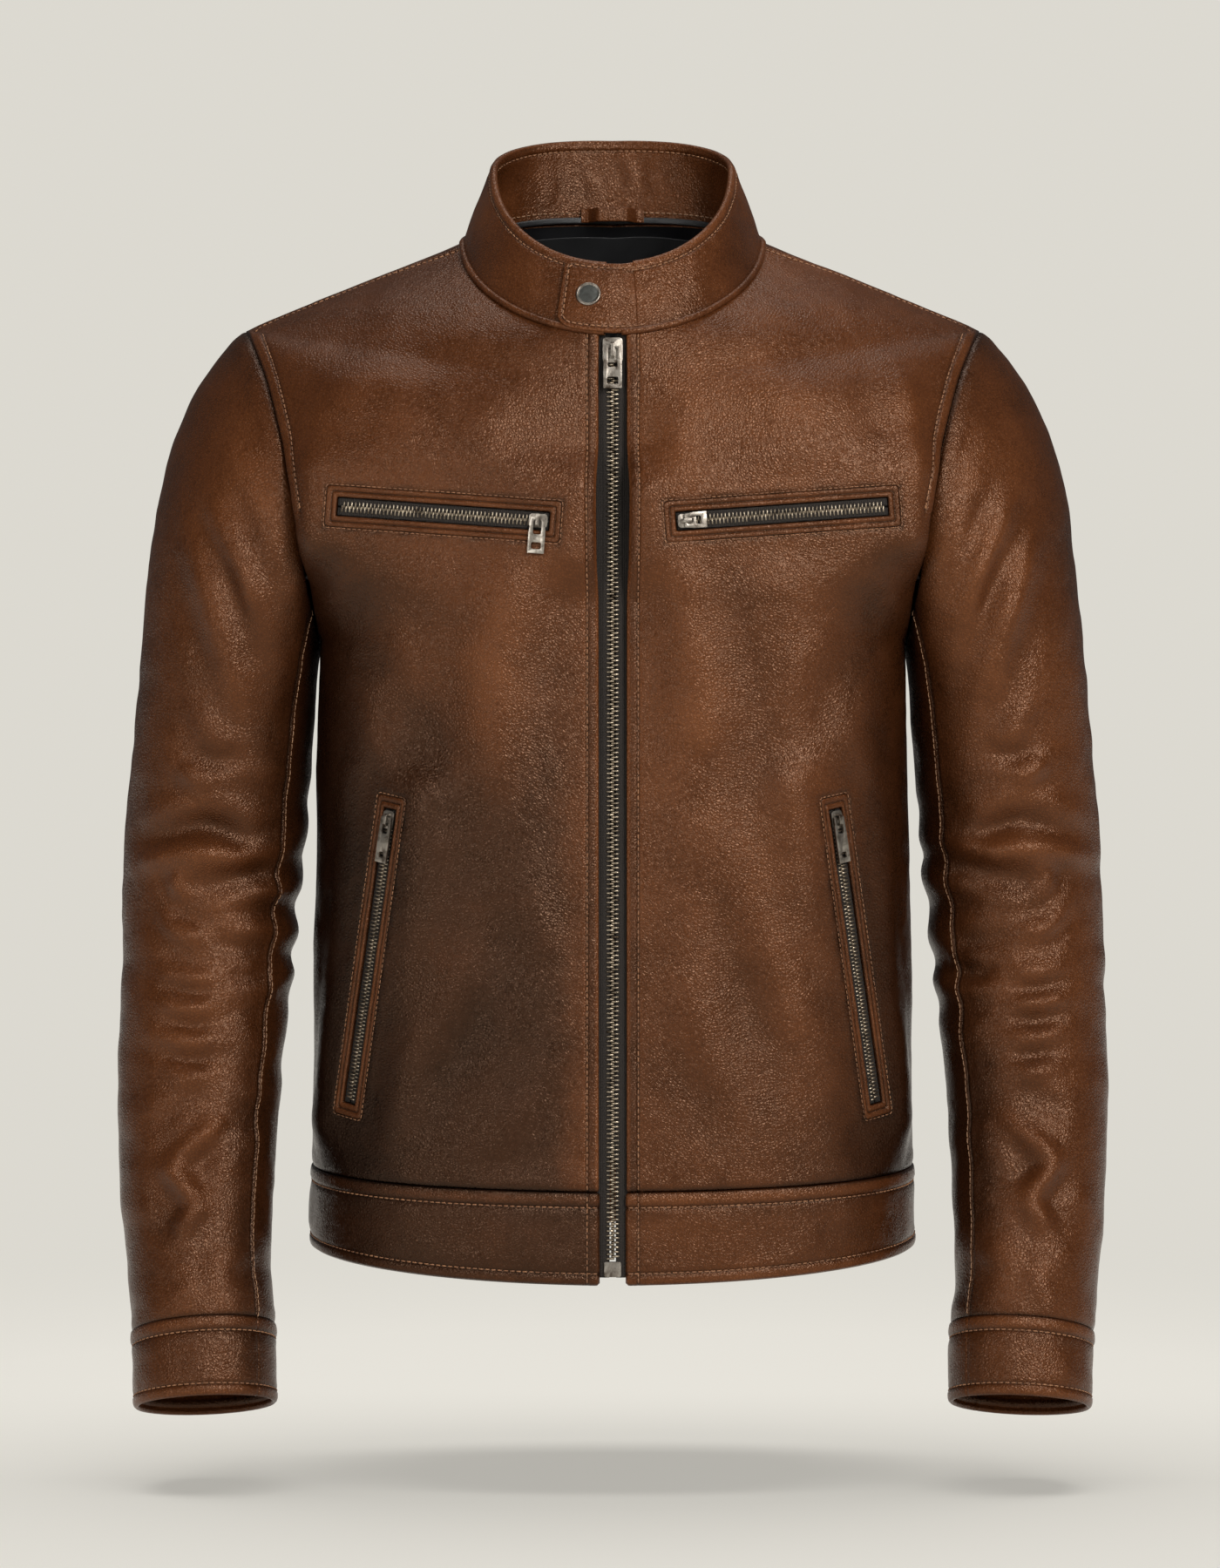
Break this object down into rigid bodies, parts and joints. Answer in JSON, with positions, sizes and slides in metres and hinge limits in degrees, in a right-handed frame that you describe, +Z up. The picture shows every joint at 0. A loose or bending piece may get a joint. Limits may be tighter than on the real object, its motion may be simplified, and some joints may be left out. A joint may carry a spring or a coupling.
{
  "type": "leather riding jacket",
  "caption": "Waist-length leather riding jacket with a band collar and snap tab, full front zip, zipped chest and hand pockets and two-piece sleeves.",
  "frame": {"origin": "middle of the gap between the hanger loop and the collar's facing at the centre back, where a hook carries the jacket", "axes": "+Z up, +Y towards the jacket's back, +X towards the wearer's left"},
  "size_m": [0.6088, 0.2317, 0.7932],
  "materials": {
    "leather": "semi-gloss, fine pebbled grain, darker at the seams",
    "lining": "black satin",
    "zip_tape": "dark brown woven tape",
    "zip_teeth": "antique brass",
    "nickel": "antique nickel",
    "snap_brass": "plain brass"
  },
  "bodies": {
    "jacket": {"back_panel": "leather", "chest_bag_left": "lining", "chest_bag_right": "lining", "chest_welt_left": "leather", "chest_welt_right": "leather", "chest_zip_left": "zip_teeth", "chest_zip_right": "zip_teeth", "collar_facing": "leather", "collar_shell": "leather", "front_panel_left": "leather", "front_panel_right": "leather", "hand_bag_left": "lining", "hand_bag_right": "lining", "hand_welt_left": "leather", "hand_welt_right": "leather", "hand_zip_left": "zip_teeth", "hand_zip_right": "zip_teeth", "hanger_loop": "leather", "lining_back": "lining", "lining_front_left": "lining", "lining_front_right": "lining", "sleeve_cap_left": "leather", "sleeve_cap_right": "leather", "snap_stud": "snap_brass", "waistband_back": "leather", "waistband_front_left": "leather", "waistband_front_right": "leather", "zip_box": "nickel", "zip_tape_left": "zip_tape", "zip_tape_right": "zip_tape", "zip_teeth_left": "zip_teeth", "zip_teeth_right": "zip_teeth"},
    "chest_pull_left": {"chest_pull_left": "nickel"},
    "chest_pull_right": {"chest_pull_right": "nickel"},
    "chest_slider_left": {"chest_slider_left": "nickel"},
    "chest_slider_right": {"chest_slider_right": "nickel"},
    "collar_tab": {"collar_tab": "leather", "snap_cap": "nickel", "snap_socket": "snap_brass"},
    "forearm_left": {"cuff_left": "leather", "sleeve_lining_left": "lining", "topsleeve_lower_left": "leather", "undersleeve_lower_left": "leather"},
    "forearm_right": {"cuff_right": "leather", "sleeve_lining_right": "lining", "topsleeve_lower_right": "leather", "undersleeve_lower_right": "leather"},
    "hand_pull_left": {"hand_pull_left": "nickel"},
    "hand_pull_right": {"hand_pull_right": "nickel"},
    "hand_slider_left": {"hand_slider_left": "nickel"},
    "hand_slider_right": {"hand_slider_right": "nickel"},
    "main_pull": {"main_pull": "nickel"},
    "main_slider": {"main_slider": "nickel"},
    "upper_sleeve_left": {"sleeve_elbow_left": "leather", "topsleeve_upper_left": "leather", "undersleeve_upper_left": "leather"},
    "upper_sleeve_right": {"sleeve_elbow_right": "leather", "topsleeve_upper_right": "leather", "undersleeve_upper_right": "leather"}
  },
  "joints": [
    {"name": "main_zip_slide", "type": "slide", "parent": "jacket", "child": "main_slider", "axis": [0, -0.0318, -0.9995], "range_m": [0, 0.5354]},
    {"name": "main_pull_swing", "type": "hinge", "parent": "main_slider", "child": "main_pull", "pos_m": [0, -0.15301, -0.09908], "axis": [-1, 0, 0], "range_deg": [0, 120]},
    {"name": "chest_zip_slide_left", "type": "slide", "parent": "jacket", "child": "chest_slider_left", "axis": [0.9901, 0.1167, 0.078], "range_m": [0, 0.1153]},
    {"name": "chest_pull_swing_left", "type": "hinge", "parent": "chest_slider_left", "child": "chest_pull_left", "pos_m": [0.04337, -0.17075, -0.20435], "axis": [0.0762, 0.0192, -0.9969], "range_deg": [0, 120]},
    {"name": "chest_zip_slide_right", "type": "slide", "parent": "jacket", "child": "chest_slider_right", "axis": [-0.9901, 0.1167, 0.078], "range_m": [0, 0.1153]},
    {"name": "chest_pull_swing_right", "type": "hinge", "parent": "chest_slider_right", "child": "chest_pull_right", "pos_m": [-0.04428, -0.17065, -0.20329], "axis": [-0.9901, 0.1167, 0.078], "range_deg": [0, 120]},
    {"name": "hand_zip_slide_left", "type": "slide", "parent": "jacket", "child": "hand_slider_left", "axis": [0.1437, 0.1095, -0.9836], "range_m": [0, 0.168]},
    {"name": "hand_pull_swing_left", "type": "hinge", "parent": "hand_slider_left", "child": "hand_pull_left", "pos_m": [0.13527, -0.14678, -0.38113], "axis": [-0.7947, -0.5795, -0.1806], "range_deg": [0, 120]},
    {"name": "hand_zip_slide_right", "type": "slide", "parent": "jacket", "child": "hand_slider_right", "axis": [-0.1437, 0.1095, -0.9836], "range_m": [0, 0.168]},
    {"name": "hand_pull_swing_right", "type": "hinge", "parent": "hand_slider_right", "child": "hand_pull_right", "pos_m": [-0.13527, -0.14678, -0.38113], "axis": [-0.7947, 0.5795, 0.1806], "range_deg": [0, 120]},
    {"name": "collar_tab_fold", "type": "hinge", "parent": "jacket", "child": "collar_tab", "pos_m": [0.01336, -0.14354, -0.06829], "axis": [-0.0572, 0.3122, 0.9483], "range_deg": [0, 110]},
    {"name": "shoulder_swing_left", "type": "hinge", "parent": "jacket", "child": "upper_sleeve_left", "pos_m": [0.216, -0.05181, -0.1057], "axis": [-1, 0, 0], "range_deg": [-15, 30], "deforming": ["sleeve_cap_left"]},
    {"name": "elbow_bend_left", "type": "hinge", "parent": "upper_sleeve_left", "child": "forearm_left", "pos_m": [0.251, -0.05281, -0.4527], "axis": [-1, 0, 0], "range_deg": [-10, 65], "deforming": ["sleeve_elbow_left"]},
    {"name": "shoulder_swing_right", "type": "hinge", "parent": "jacket", "child": "upper_sleeve_right", "pos_m": [-0.216, -0.05181, -0.1057], "axis": [-1, 0, 0], "range_deg": [-15, 30], "deforming": ["sleeve_cap_right"]},
    {"name": "elbow_bend_right", "type": "hinge", "parent": "upper_sleeve_right", "child": "forearm_right", "pos_m": [-0.251, -0.05281, -0.4527], "axis": [-1, 0, 0], "range_deg": [-10, 65], "deforming": ["sleeve_elbow_right"]}
  ]
}
